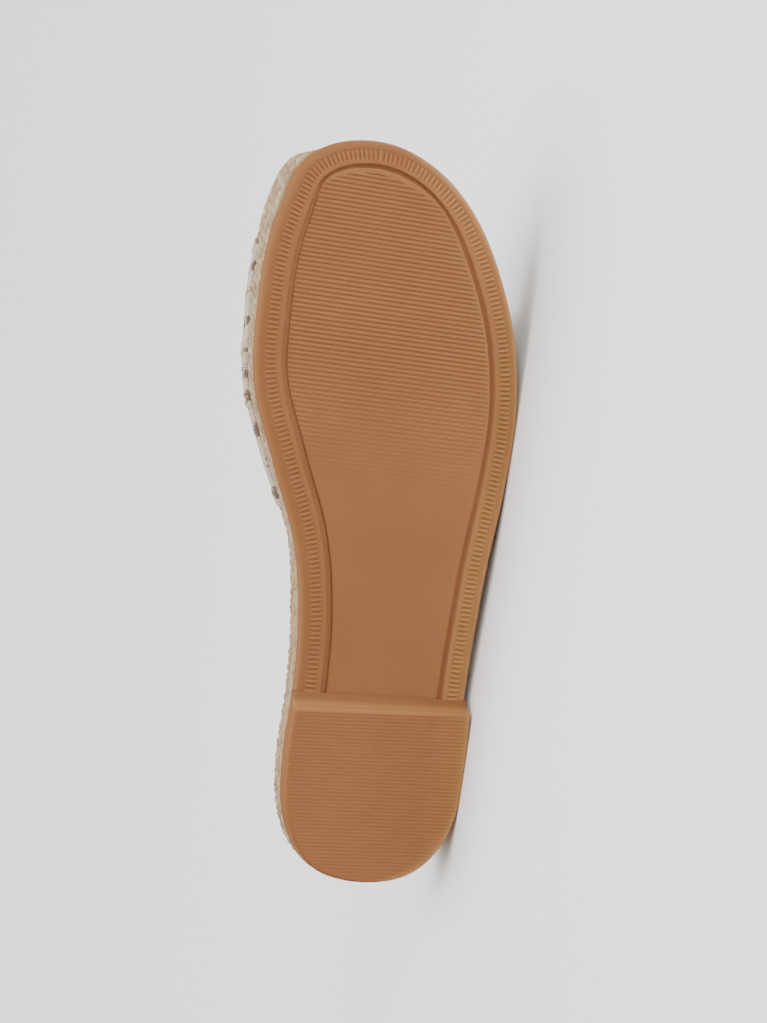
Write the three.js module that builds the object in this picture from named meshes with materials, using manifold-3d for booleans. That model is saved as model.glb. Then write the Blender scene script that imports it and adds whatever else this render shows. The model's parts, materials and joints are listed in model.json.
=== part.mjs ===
// An espadrille mule for the left foot, lying on its lateral side.
// It is modelled standing first: x runs from the heel tip to the toe tip, y to the lateral side, z up
// from the ground that heel and forefoot share. Then it is laid on the side that it comes to rest on.
// Sizes are in millimetres.

import * as THREE from 'three';
import { ConvexHull } from 'three/addons/math/ConvexHull.js';
import { mergeVertices } from 'three/addons/utils/BufferGeometryUtils.js';
import Module from 'manifold-3d';

// Driving sizes of the sole
const LENGTH = 255;
const BALL_WIDTH = 95;
const RUBBER_THICK = 3.5;
const HEEL_LIFT = 5;
const PLATFORM_HEIGHT = 18;
const TOE_SPRING = 5;
const INSOLE_THICK = 3;
const INSOLE_ROUND = 1.2;
const CLEARANCE = 0.3;

// Details of the rubber's underside, as distances in from its outline and depths up from its lowest face
const RIM_ROUND = 1.8;
const FRAME_WIDTH = 9.3;
const GROOVE_WIDTH = 2.1;
const GROOVE_DEPTH = 1.4;
const PAD_DEPTH = 0.7;
const STEP_SLOPE = 0.3;

// Heel block: how far it stands proud of the outline, the run of its hollow front face and its skew
const HEEL_PROUD = 0.4;
const HEEL_SHOULDER = 0.8;
const BREAST_AT = 59.5;
const BREAST_RUN = 6;
const BREAST_SKEW = THREE.MathUtils.degToRad(1.8);

// Jute midsole: how far its wall stands in from the rubber, the depth of the valleys between its braids,
// and how much further in its top edge is drawn at the medial waist
const JUTE_INSET = 0.3;
const BRAID_ROWS = 3;
const BRAID_RELIEF = 0.8;
const WAIST_TUCK = 1.8;

// Upper: wall and hem of the straps, height over the instep, and how far the lateral side swells out
const STRAP_WALL = 1.8;
const HEM_EXTRA = 0.5;
const HEM_WIDTH = 6;
const STRAP_SEAT = 0.5;
const INSTEP_HEIGHT = 56;
const LATERAL_SWELL = 5.5;
const STRAP_MERGE = 0.6;
const STRAP_PINCH = 4.5;
const OVERLAP_RAMP = 6;

// Steps of the meshes: round half of the outline, across and along a strap
const HALF_STEPS = 44;
const STRAP_STEPS = 28;
const STRAP_COLUMNS = 6;

// Outline: rows at equal steps of the half turn from heel tip to toe tip, as shares of the ball width
const OUTLINE = [
  { medial: 0.009, lateral: -0.009 },
  { medial: 0.174, lateral: 0.151 },
  { medial: 0.269, lateral: 0.257 },
  { medial: 0.325, lateral: 0.320 },
  { medial: 0.339, lateral: 0.336 },
  { medial: 0.328, lateral: 0.338 },
  { medial: 0.338, lateral: 0.346 },
  { medial: 0.392, lateral: 0.360 },
  { medial: 0.502, lateral: 0.395 },
  { medial: 0.601, lateral: 0.411 },
  { medial: 0.616, lateral: 0.377 },
  { medial: 0.602, lateral: 0.303 },
  { medial: 0.555, lateral: 0.208 },
  { medial: 0.493, lateral: 0.087 },
  { medial: 0.370, lateral: -0.058 },
  { medial: 0.208, lateral: -0.208 },
];

// Where the ground line of the sole turns, as shares of the length
const ARCH_END = 0.5;
const SPRING_START = 0.74;

// Height of the straps over the platform, as shares of the instep height, at equal steps of the length
const SECTIONS_FROM = 0.42;
const SECTIONS_TO = 0.9;
const SECTIONS = [
  { height: 1.0, crown: 0.06 },
  { height: 0.9, crown: 0.08 },
  { height: 0.76, crown: 0.11 },
  { height: 0.63, crown: 0.13 },
  { height: 0.5, crown: 0.14 },
];

// Exponents of the arch's height on its medial and lateral side: the greater, the sooner that side leans in
const ARCH_LEAN = [1.35, 0.9];

// Where each strap leaves the sole, as shares of the length
const STRAPS = {
  over: { medialRear: 0.622, medialFront: 0.855, lateralRear: 0.463, lateralFront: 0.664 },
  under: { medialRear: 0.494, medialFront: 0.714, lateralRear: 0.58, lateralFront: 0.804 },
};

const wasm = await Module();
wasm.setup();

const { clamp, lerp, smoothstep } = THREE.MathUtils;

// Smooth value through evenly spaced values, at position u counted in steps
function throughValues(values, u, closed) {
  const last = values.length;
  const i = Math.floor(u);
  const pick = (k) => (closed ? values[((k % last) + last) % last] : values[clamp(k, 0, last - 1)]);
  const [a, b, c, d] = [pick(i - 1), pick(i), pick(i + 1), pick(i + 2)];
  const t = u - i;
  const slope = (c - a) / 2;
  const nextSlope = (d - b) / 2;
  const square = t * t;
  const cube = square * t;
  return (2 * cube - 3 * square + 1) * b + (cube - 2 * square + t) * slope
    + (3 * square - 2 * cube) * c + (cube - square) * nextSlope;
}

// Sideways places of the outline all round, from the heel tip up the medial side and back down the lateral
const sidewaysRound = [
  ...OUTLINE.map((row) => -row.medial * BALL_WIDTH),
  ...OUTLINE.slice(1, -1).reverse().map((row) => row.lateral * BALL_WIDTH),
];

function outlineAt(turn) {
  const x = LENGTH * (1 - Math.cos(2 * Math.PI * turn)) / 2;
  return new THREE.Vector2(x, throughValues(sidewaysRound, turn * sidewaysRound.length, true));
}

function turnAt(x, side) {
  const half = Math.acos(clamp(1 - 2 * x / LENGTH, -1, 1)) / (2 * Math.PI);
  return side < 0 ? half : 1 - half;
}

// Heights along the sole
const waistTuck = (x, y) => (y < 0 ? WAIST_TUCK * Math.exp(-(((x / LENGTH - 0.46) / 0.07) ** 2)) : 0);
const springAt = (x) => TOE_SPRING * Math.max(0, (x / LENGTH - SPRING_START) / (1 - SPRING_START)) ** 1.8;
const archAt = (x) => HEEL_LIFT * (1 - smoothstep(x, BREAST_AT + BREAST_RUN / 2, LENGTH * ARCH_END));
const groundAt = (x) => archAt(x) + springAt(x);
const rubberTopAt = (x) => groundAt(x) + RUBBER_THICK;
const platformAt = (x) => PLATFORM_HEIGHT + springAt(x);

// One ring of points round the outline, moved in by inset(x, y) and raised to height(x)
function ring(inset, height) {
  const points = [];
  const count = 2 * HALF_STEPS;
  const step = 0.2 / count;
  for (let i = 0; i < count; i += 1) {
    const turn = i / count;
    const here = outlineAt(turn);
    const along = outlineAt(turn + step).sub(outlineAt(turn - step)).normalize();
    const depth = typeof inset === 'function' ? inset(here.x, here.y) : inset;
    const x = here.x + along.y * depth * -1;
    const y = here.y + along.x * depth;
    points.push(new THREE.Vector3(x, y, height(x)));
  }
  return points;
}

function geometryFrom(points, faces) {
  const geometry = new THREE.BufferGeometry();
  geometry.setAttribute('position', new THREE.Float32BufferAttribute(points.flatMap((p) => p.toArray()), 3));
  geometry.setIndex(faces);
  return geometry;
}

// A closed body from rings listed from its top face down to its bottom face
function stack(rings) {
  const count = rings[0].length;
  const half = count / 2;
  const faces = [];
  for (let r = 0; r + 1 < rings.length; r += 1) {
    for (let i = 0; i < count; i += 1) {
      const next = (i + 1) % count;
      const [a, b] = [r * count + i, r * count + next];
      const [c, d] = [a + count, b + count];
      faces.push(a, c, b, b, c, d);
    }
  }
  const cap = (start, flip) => {
    const face = (a, b, c) => (flip ? faces.push(start + a, start + c, start + b)
      : faces.push(start + a, start + b, start + c));
    for (let i = 0; i < half; i += 1) {
      const [a, b] = [i, i + 1];
      const [c, d] = [(count - i) % count, (count - i - 1) % count];
      if (a !== c) face(a, c, b);
      if (b !== d) face(c, d, b);
    }
  };
  cap(0, true);
  cap((rings.length - 1) * count, false);
  return geometryFrom(rings.flat(), faces);
}

function toSolid(geometry) {
  const bare = geometry.clone();
  bare.deleteAttribute('normal');
  bare.deleteAttribute('uv');
  const merged = mergeVertices(bare, 1e-4);
  return new wasm.Manifold(new wasm.Mesh({
    numProp: 3,
    vertProperties: new Float32Array(merged.attributes.position.array),
    triVerts: new Uint32Array(merged.index.array),
  }));
}

function toGeometry(solid) {
  const { vertProperties, triVerts } = solid.getMesh();
  const geometry = new THREE.BufferGeometry();
  geometry.setAttribute('position', new THREE.Float32BufferAttribute(vertProperties, 3));
  geometry.setIndex(new THREE.BufferAttribute(triVerts, 1));
  return geometry;
}

// Rubber outsole: a plate with a raised frame, a groove and a sunk pad underneath
function outsolePlate() {
  const groove = FRAME_WIDTH + GROOVE_WIDTH;
  return stack([
    ring(STEP_SLOPE, rubberTopAt),
    ring(0, (x) => rubberTopAt(x) - STEP_SLOPE),
    ring(0, (x) => groundAt(x) + RIM_ROUND),
    ring(RIM_ROUND * 0.3, (x) => groundAt(x) + RIM_ROUND * 0.3),
    ring(RIM_ROUND, groundAt),
    ring(FRAME_WIDTH, groundAt),
    ring(FRAME_WIDTH + STEP_SLOPE, (x) => groundAt(x) + GROOVE_DEPTH),
    ring(groove - STEP_SLOPE, (x) => groundAt(x) + GROOVE_DEPTH),
    ring(groove, (x) => groundAt(x) + PAD_DEPTH),
  ]);
}

// Heel block with a hollow, slanting front face
function heelBlock() {
  const top = () => HEEL_LIFT + RUBBER_THICK - HEEL_SHOULDER;
  const block = stack([
    ring(-HEEL_PROUD, top),
    ring(-HEEL_PROUD, () => RIM_ROUND / 2),
    ring(0, () => RIM_ROUND * 0.15),
    ring(RIM_ROUND / 2, () => 0),
  ]);
  const cut = new THREE.Shape();
  const reach = HEEL_LIFT + RUBBER_THICK;
  cut.moveTo(-LENGTH, -reach);
  cut.lineTo(0, -reach);
  cut.lineTo(0, 0);
  cut.quadraticCurveTo(BREAST_RUN * 0.15, HEEL_LIFT * 0.7, BREAST_RUN, HEEL_LIFT);
  cut.lineTo(BREAST_RUN, HEEL_LIFT + GROOVE_DEPTH + STEP_SLOPE);
  cut.lineTo(0, HEEL_LIFT + GROOVE_DEPTH + STEP_SLOPE);
  cut.lineTo(0, 2 * reach);
  cut.lineTo(-LENGTH, 2 * reach);
  const keep = new THREE.ExtrudeGeometry(cut, { depth: 2 * BALL_WIDTH, bevelEnabled: false, curveSegments: 5 });
  keep.translate(0, 0, -BALL_WIDTH);
  keep.rotateX(Math.PI / 2);
  keep.rotateZ(BREAST_SKEW);
  keep.translate(BREAST_AT, 0, 0);
  return toSolid(block).intersect(toSolid(keep));
}

const outsole = toGeometry(toSolid(outsolePlate()).add(heelBlock()));

// Jute midsole: braids wound round its side stand out as rows
function midsoleGeometry() {
  const low = (x) => rubberTopAt(x) + CLEARANCE;
  const wall = (share) => (x, y) => JUTE_INSET + share * waistTuck(x, y);
  const valley = (share) => (x, y) => wall(share)(x, y) + BRAID_RELIEF;
  const level = (share) => (x) => lerp(low(x), platformAt(x), share);
  const rings = [];
  for (let row = BRAID_ROWS; row > 0; row -= 1) {
    const at = (part) => (row - 1 + part) / BRAID_ROWS;
    rings.push(ring(valley(at(1)), level(at(1))));
    rings.push(ring(wall(at(0.75)), level(at(0.75))));
    rings.push(ring(wall(at(0.25)), level(at(0.25))));
  }
  rings.push(ring(valley(0), low));
  return stack(rings);
}

// Straps: the inside of the upper is a row of arches from the medial to the lateral edge of the sole
const sectionAt = (x, key) => {
  const share = (x / LENGTH - SECTIONS_FROM) / (SECTIONS_TO - SECTIONS_FROM);
  const steps = SECTIONS.length - 1;
  return throughValues(SECTIONS.map((row) => row[key]), clamp(share, 0, 1) * steps, false);
};

function archPoint(x, across) {
  const wall = STRAP_SEAT + STRAP_WALL + HEM_EXTRA;
  const medial = outlineAt(turnAt(x, -1)).y;
  const edges = [medial + wall + waistTuck(x, -1), outlineAt(turnAt(x, 1)).y - wall];
  const crown = (edges[0] + edges[1]) / 2 - sectionAt(x, 'crown') * BALL_WIDTH;
  const side = across < 0.5 ? 0 : 1;
  const bend = Math.PI * clamp(across, 0, 1);
  const rise = Math.sin(bend);
  const reach = Math.abs(Math.cos(bend));
  const swell = side * LATERAL_SWELL * Math.sin(Math.PI * clamp(rise / 0.85, 0, 1)) ** 2;
  const height = INSTEP_HEIGHT * sectionAt(x, 'height');
  return new THREE.Vector3(
    x,
    lerp(crown, edges[side], reach) + swell,
    platformAt(x) + CLEARANCE + height * rise ** ARCH_LEAN[side],
  );
}

// Where the arch at x has risen by level above the strap's foot, as a share of the way across
function acrossAt(x, level, side) {
  const height = INSTEP_HEIGHT * sectionAt(x, 'height');
  const lean = ARCH_LEAN[side < 0 ? 0 : 1];
  const across = Math.asin(clamp(level / height, 0, 1) ** (1 / lean)) / Math.PI;
  return side < 0 ? across : 1 - across;
}

// A point of the arch surface, moved out along its normal
function wallPoint(x, across, lift) {
  const step = 1e-3;
  const from = clamp(across, step, 1 - step);
  const along = archPoint(x + step * LENGTH, from).sub(archPoint(x - step * LENGTH, from));
  const over = archPoint(x, from + step).sub(archPoint(x, from - step));
  const normal = over.cross(along).normalize().negate();
  const point = archPoint(x, across);
  if (across <= 0 || across >= 1) normal.setZ(0).normalize();
  return point.addScaledVector(normal, lift);
}

const strapEdge = (strap, end, across) => {
  const ease = smoothstep(across, 0.05, 0.95);
  const inward = end === 'Rear' ? STRAP_PINCH : -STRAP_PINCH;
  const drawn = inward * Math.sin(Math.PI * across) ** 2;
  return LENGTH * lerp(strap[`medial${end}`], strap[`lateral${end}`], ease) + drawn;
};

// How much of the under strap lies below a point of the over strap, from 0 to 1
function cover(x, across) {
  const rear = strapEdge(STRAPS.under, 'Rear', across);
  const front = strapEdge(STRAPS.under, 'Front', across);
  const inside = Math.min(x - rear, front - x);
  const seat = smoothstep(Math.min(across, 1 - across), 0.02, 0.1);
  return seat * smoothstep(inside, -OVERLAP_RAMP, -OVERLAP_RAMP / 6);
}

// Columns across a strap, with the hem at both edges as a step in its wall
function strapColumns(width) {
  const hem = HEM_WIDTH / width;
  const turn = HEM_EXTRA / width;
  const columns = [{ share: 0, wall: STRAP_WALL }, { share: turn * 2, wall: STRAP_WALL + HEM_EXTRA }];
  for (let i = 0; i <= STRAP_COLUMNS; i += 1) {
    const share = lerp(hem, 1 - hem, i / STRAP_COLUMNS);
    const atEnd = i === 0 || i === STRAP_COLUMNS;
    const hemmed = { share: i === 0 ? share - turn : share + turn, wall: STRAP_WALL + HEM_EXTRA };
    if (i === 0) columns.push(hemmed);
    columns.push({ share, wall: STRAP_WALL });
    if (atEnd && i > 0) columns.push(hemmed);
  }
  columns.push({ share: 1 - turn * 2, wall: STRAP_WALL + HEM_EXTRA }, { share: 1, wall: STRAP_WALL });
  return columns;
}

function strapSolid(strap, raised) {
  const points = [];
  const faces = [];
  const width = LENGTH * (strap.medialFront - strap.medialRear);
  const columns = strapColumns(width);
  const across = columns.length;
  for (let layer = 0; layer < 2; layer += 1) {
    for (let j = 0; j <= STRAP_STEPS; j += 1) {
      const over = (1 - Math.cos(Math.PI * j / STRAP_STEPS)) / 2 * 0.35 + (j / STRAP_STEPS) * 0.65;
      columns.forEach(({ share, wall }) => {
        const x = lerp(strapEdge(strap, 'Rear', over), strapEdge(strap, 'Front', over), share);
        const under = raised ? cover(x, over) : 0;
        const base = under * (STRAP_WALL - STRAP_MERGE);
        points.push(wallPoint(x, over, layer === 0 ? base : base + wall));
      });
    }
  }
  const at = (layer, j, i) => (layer * (STRAP_STEPS + 1) + j) * across + i;
  const quad = (a, b, c, d) => faces.push(a, c, b, a, d, c);
  for (let j = 0; j < STRAP_STEPS; j += 1) {
    for (let i = 0; i + 1 < across; i += 1) {
      quad(at(0, j, i), at(0, j, i + 1), at(0, j + 1, i + 1), at(0, j + 1, i));
      quad(at(1, j, i), at(1, j + 1, i), at(1, j + 1, i + 1), at(1, j, i + 1));
    }
    quad(at(0, j, 0), at(0, j + 1, 0), at(1, j + 1, 0), at(1, j, 0));
    quad(at(0, j, across - 1), at(1, j, across - 1), at(1, j + 1, across - 1), at(0, j + 1, across - 1));
  }
  for (let i = 0; i + 1 < across; i += 1) {
    quad(at(0, 0, i), at(1, 0, i), at(1, 0, i + 1), at(0, 0, i + 1));
    quad(at(0, STRAP_STEPS, i), at(0, STRAP_STEPS, i + 1), at(1, STRAP_STEPS, i + 1), at(1, STRAP_STEPS, i));
  }
  return toSolid(geometryFrom(points, faces));
}

const upper = toGeometry(strapSolid(STRAPS.under, false).add(strapSolid(STRAPS.over, true)));

// Insole: reaches the edge of the jute, and gives way where a strap goes down to the midsole
function strapSlot(side, from, to) {
  const steps = 16;
  const points = [];
  const faces = [];
  const overhang = STRAP_SEAT + STRAP_WALL + HEM_EXTRA;
  const endRoom = CLEARANCE + STRAP_WALL / 2;
  for (let i = 0; i <= steps; i += 1) {
    const x = lerp(from - endRoom, to + endRoom, i / steps);
    const inner = archPoint(x, acrossAt(x, INSOLE_THICK, side)).y - side * 2 * CLEARANCE;
    const outer = outlineAt(turnAt(x, side)).y + side * overhang;
    const [low, high] = [platformAt(x) - INSOLE_THICK, platformAt(x) + 3 * INSOLE_THICK];
    points.push(new THREE.Vector3(x, outer, low), new THREE.Vector3(x, inner, low));
    points.push(new THREE.Vector3(x, inner, high), new THREE.Vector3(x, outer, high));
  }
  const face = (a, b, c) => (side > 0 ? faces.push(a, b, c) : faces.push(a, c, b));
  const quad = (a, b, c, d) => {
    face(a, b, c);
    face(a, c, d);
  };
  for (let i = 0; i < steps; i += 1) {
    for (let k = 0; k < 4; k += 1) {
      const [a, b] = [4 * i + k, 4 * i + (k + 1) % 4];
      quad(a, a + 4, b + 4, b);
    }
  }
  quad(0, 1, 2, 3);
  const end = 4 * steps;
  quad(end + 3, end + 2, end + 1, end);
  return toSolid(geometryFrom(points, faces));
}

function insoleGeometry() {
  const edge = (extra) => (x, y) => JUTE_INSET + BRAID_RELIEF + extra + waistTuck(x, y);
  const level = (share) => (x) => platformAt(x) + CLEARANCE + share * INSOLE_THICK;
  const plate = stack([
    ring(edge(INSOLE_ROUND), level(1)),
    ring(edge(INSOLE_ROUND / 4), level(0.85)),
    ring(edge(0), level(0.5)),
    ring(edge(INSOLE_ROUND / 4), level(0)),
  ]);
  const ends = [STRAPS.over, STRAPS.under];
  const span = (side) => [
    LENGTH * Math.min(...ends.map((strap) => strap[`${side}Rear`])),
    LENGTH * Math.max(...ends.map((strap) => strap[`${side}Front`])),
  ];
  return toGeometry(toSolid(plate)
    .subtract(strapSlot(-1, ...span('medial')))
    .subtract(strapSlot(1, ...span('lateral'))));
}

function piece(name, geometry, color, roughness) {
  const mesh = new THREE.Mesh(geometry, new THREE.MeshStandardMaterial({ color, roughness, metalness: 0 }));
  mesh.name = name;
  return mesh;
}

const standing = [
  piece('outsole', outsole, '#a8714c', 0.5),
  piece('midsole', midsoleGeometry(), '#d7c1a8', 0.95),
  piece('insole', insoleGeometry(), '#d9cbb8', 0.8),
  piece('upper', upper, '#d9c9b9', 0.85),
];

// Six times the volume of a closed mesh, and its volume centre
function weigh(geometry) {
  const place = geometry.attributes.position;
  const corner = (k) => new THREE.Vector3().fromBufferAttribute(place, geometry.index.getX(k));
  const centre = new THREE.Vector3();
  let volume = 0;
  for (let k = 0; k < geometry.index.count; k += 3) {
    const [a, b, c] = [corner(k), corner(k + 1), corner(k + 2)];
    const wedge = a.dot(b.clone().cross(c));
    volume += wedge;
    centre.addScaledVector(a.add(b).add(c), wedge / 4);
  }
  return { volume, centre: centre.divideScalar(volume) };
}

// The side that the shoe comes to rest on: the face of its hull below its middle once it has rolled over
function restingNormal(pieces) {
  const points = [];
  const middle = new THREE.Vector3();
  let whole = 0;
  pieces.forEach(({ geometry }) => {
    const place = geometry.attributes.position;
    for (let i = 0; i < place.count; i += 1) points.push(new THREE.Vector3().fromBufferAttribute(place, i));
    const { volume, centre } = weigh(geometry);
    middle.addScaledVector(centre, volume);
    whole += volume;
  });
  middle.divideScalar(whole);
  const hull = new ConvexHull().setFromPoints(points);
  let down = new THREE.Vector3(0, 1, 0);
  for (let roll = 0; roll < 20; roll += 1) {
    const below = hull.faces
      .filter((face) => face.normal.dot(down) > 1e-6)
      .map((face) => ({ face, travel: (face.constant - face.normal.dot(middle)) / face.normal.dot(down) }))
      .reduce((best, hit) => (hit.travel < best.travel ? hit : best));
    down = below.face.normal.clone();
  }
  return down;
}

const up = restingNormal(standing).negate();
const toe = new THREE.Vector3(1, 0, 0).addScaledVector(up, -up.x).normalize();
const away = new THREE.Vector3().crossVectors(up, toe);
const lying = new THREE.Matrix4().makeBasis(toe, away, up).transpose();

const mule = new THREE.Group();
mule.add(...standing);
mule.quaternion.setFromRotationMatrix(lying);
mule.updateMatrixWorld(true);
const box = new THREE.Box3().setFromObject(mule, true);
const centre = box.getCenter(new THREE.Vector3());
mule.position.set(-centre.x, -centre.y, -box.min.z);

export default mule;
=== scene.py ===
"""The looks of an espadrille mule for the left foot, lying on its lateral side.

Every piece is modelled in the shoe's own axes, in millimetres: x from heel tip to toe tip, y to the
lateral side, z up from the ground that heel and forefoot share. It is then laid where the frame is.
"""

import json
import math

import bpy
import numpy as np
from mathutils import Matrix, Vector


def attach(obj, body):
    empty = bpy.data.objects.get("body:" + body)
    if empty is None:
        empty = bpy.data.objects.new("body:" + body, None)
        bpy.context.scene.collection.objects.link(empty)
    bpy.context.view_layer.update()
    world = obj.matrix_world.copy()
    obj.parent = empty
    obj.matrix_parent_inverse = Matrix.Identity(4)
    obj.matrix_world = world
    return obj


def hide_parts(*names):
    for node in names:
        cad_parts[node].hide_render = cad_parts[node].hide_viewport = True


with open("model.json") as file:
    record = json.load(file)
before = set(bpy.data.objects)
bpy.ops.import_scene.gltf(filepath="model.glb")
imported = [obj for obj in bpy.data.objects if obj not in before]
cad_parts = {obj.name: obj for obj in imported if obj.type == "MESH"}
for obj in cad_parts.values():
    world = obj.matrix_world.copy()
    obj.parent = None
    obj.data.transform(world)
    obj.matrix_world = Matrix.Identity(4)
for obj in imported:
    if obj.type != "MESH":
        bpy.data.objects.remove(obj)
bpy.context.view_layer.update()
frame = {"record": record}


def table(columns, *rows):
    """Rows under the names of their columns. A row may leave out its last columns."""
    return [dict(zip(columns, row)) for row in rows]


# Sizes of the sole, as in the part
LENGTH = 255.0
BALL_WIDTH = 95.0
RUBBER_THICK = 3.5
HEEL_LIFT = 5.0
PLATFORM_HEIGHT = 18.0
TOE_SPRING = 5.0
INSOLE_THICK = 3.0
CLEARANCE = 0.3
ARCH_END = 0.5
SPRING_START = 0.74
HEEL_PROUD = 0.4
HEEL_SHOULDER = 0.8
BREAST_AT = 59.5
BREAST_RUN = 6.0
JUTE_INSET = 0.3

# The heel's front face as it shows: its run, the turns of its lower and upper edge, its rounded lip
BREAST_FACE_RUN = 4.5
BREAST_SKEW = math.radians(1.4)
BREAST_TOP_SKEW = math.radians(0.6)
BREAST_CORNER = 0.45

# The jute: rows of braid and how far each is shifted along, how far strands stand out, their pitch and
# lean, and the shape of the wall
BRAID_ROWS = 3
BRAID_LEVELS = 16
BRAID_SHIFT = 0.31
BRAID_RELIEF = 1.3
STRAND_PITCH = 3.3
STRAND_LEAN = 0.55
WAIST_TUCK = 1.8
WAIST_AT = 0.46
WAIST_SPREAD = 0.07
TOE_BULGE = 2.9
TOE_BULGE_STARTS = (205.0, 234.0)
TOE_BULGE_ENDS = (244.0, 251.7)

# Sizes of the upper, as in the part
STRAP_WALL = 1.8
HEM_EXTRA = 0.5
HEM_WIDTH = 6.0
STRAP_LENGTH = 150.0
STRAP_SEAT = 0.5
STRAP_INSET = STRAP_SEAT + STRAP_WALL + HEM_EXTRA
INSTEP_HEIGHT = 56.0
LATERAL_SWELL = 5.5
STRAP_PINCH = 4.5
OVERLAP_RAMP = 6.0
ARCH_LEAN = {"medial": 1.35, "lateral": 0.9}

# The cloth itself: its thickness, folds, the rise of one strap over the other, the pull at the waist,
# and the skirt that reaches down over the jute
CLOTH_WALL = 1.35
CLOTH_HEM = 0.4
CLOTH_RISE = 1.3
FOLD_COUNT = 3.2
FOLD_HEIGHT = 0.6
FOLD_STARTS = {"over": 1.3, "under": 0.4}
PUCKER = 0.09
WAIST_PULL = 1.6
WAIST_PULL_SPAN = (155.0, 195.0)
FORE_EASE = 0.4
FORE_EASE_SPAN = (185.0, 200.0)
SKIRT = 6.0
SKIRT_FRONT = 2.8
SKIRT_SPAN = (182.0, 200.0)
SKIRT_SHARE = 0.06
SKIRT_TUCK = 1.7
SKIRT_OUT = 1.75

# How far from a strap's low end its print is broken up, and from where it is whole
LOW_END = (1.0, 16.0)

# Stitches: length, gap and thickness; for those that bind the footbed the pitch and slant, and how far
# they reach under and over the platform's edge
STITCH = 3.0
STITCH_GAP = 1.2
STITCH_THICK = 0.55
HEM_STITCH_INSET = HEM_WIDTH - 1.3
WHIP_PITCH = 5.2
WHIP_SLANT = 1.4
WHIP_THICK = 0.5
WHIP_UNDER = 1.5
WHIP_OVER = 1.8

# The tread: distances in from the outline, depths and pitches
RIM = 3.2
RIM_PAINTED_LIGHT_SPAN = (1.0, 2.6)
MEDIAL_RIM_SHADE_SPAN = (1.2, 2.5)
TICKS_FROM = 3.35
TICKS_TO = 7.35
TICK_PITCH = 1.72
TICK_DEPTH = 0.4
SLOT_SHARES = (0.0, 0.14, 0.54, 0.68)
FRAME_WIDTH = 9.3
PAD_FROM = 11.45
TOE_NARROWING = 0.4
TOE_NARROWING_SPAN = (222.0, 250.0)
GROOVE_NARROWING = 0.35
GROOVE_WIDTH = 1.5
GROOVE_SPAN = (-10.0, 20.0)
GROOVE_DEPTH = 1.4
PAD_DEPTH = 0.45
PAD_EDGE = 0.3
PAD_BURIED = 0.8
PAD_BORDER = 0.1
PAD_TOE_BORDER = 1.9
PAD_TOE_FROM = 234.0
PAD_LATERAL_BORDER = 0.9
FORE_PITCH = 1.6
FORE_RIB_DEPTH = 0.48
HEEL_PITCH = 1.24
HEEL_RIB_DEPTH = 0.14
HEEL_ROUND = 1.6
FORE_SKEW = math.radians(-0.7)
FORE_SKEW_FROM = 90.0
HEEL_SKEW = math.radians(0.7)
HEEL_SKEW_TO = 20.0
RIBS_FADE_FROM = 135.0
RIBS_FULL_FROM = 182.0
RIB_ROWS = 8

# How the rubber's painted light and shade go from the medial side to the lateral side, and from waist to
# forefoot
SIDE_BLEND = 20.0
SIDE_SHIFT = 0.6
WAIST_TO_FORE = (110.0, 170.0)

# Painted light and shade on the parts of the rubber: above zero painted light, lighter; below zero painted
# shade, darker and more golden
PAINTED_LIGHT_AND_SHADE = {
    "waist_frame": 0.5,
    "fore_frame": 0.25,
    "medial_tick": 0.25,
    "lateral_tick": 0.5,
    "medial_painted_shade": -0.45,
    "waist_pad": -0.06,
    "fore_pad": 0.17,
    "lateral_pad": 0.14,
    "pad_edge": 0.3,
    "medial_heel": -0.5,
    "lateral_heel": 0.26,
    "heel_rim": 1.5,
    "heel_lip": 0.55,
}

# Painted shade on the sunk parts of the rubber, where they are lowest or for each millimetre of depth
SHADE = {
    "slot": 0.8,
    "groove": 0.95,
    "deepest": 0.85,
    "lateral_waist": -0.4,
    # Painted shade on the medial side, inward of the rim's rounded edge
    "seam": 0.6,
    "pad_valley": 0.85,
    "pad_edge": 0.9,
    "heel_valley": 0.35,
    "breast": 0.9,
}

# The frame's rows, from its top edge round the rim and over the ticks into the groove: distance in from
# the outline, and height over the ground or distance under the rubber's top
FRAME_ROWS = table(
    ("inset", "from_top"),
    (1.4, 0.0),
    (0.25, 0.02),
    (0.0, 0.25),
)
FRAME_ROWS += table(
    ("inset", "up", "tick"),
    (0.0, 2.5),
    (0.08, 1.95),
    (0.3, 1.42),
    (0.7, 0.92),
    (1.2, 0.54),
    (1.8, 0.26),
    (2.5, 0.07),
    (RIM, 0.0),
    (TICKS_FROM, 0.15),
    (TICKS_FROM + 0.45, TICK_DEPTH * 0.75, True),
    (TICKS_FROM + 1.2, TICK_DEPTH, True),
    (TICKS_TO - 1.2, TICK_DEPTH, True),
    (TICKS_TO - 0.35, TICK_DEPTH * 0.85, True),
    (TICKS_TO, 0.02),
    (TICKS_TO + 0.25, -0.06),
    (FRAME_WIDTH - 0.45, -0.06),
    (FRAME_WIDTH - 0.1, 0.06),
    (FRAME_WIDTH + 0.15, 0.5),
    (FRAME_WIDTH + 0.4, 0.85),
    (FRAME_WIDTH + 1.1, 1.0),
    (FRAME_WIDTH + 1.5, 1.0),
    (FRAME_WIDTH + 1.8, 1.04),
    (PAD_FROM - 0.15, 1.1),
    (PAD_FROM + 0.9, 1.14),
    (PAD_FROM + 1.1, GROOVE_DEPTH + 0.1),
)

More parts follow.
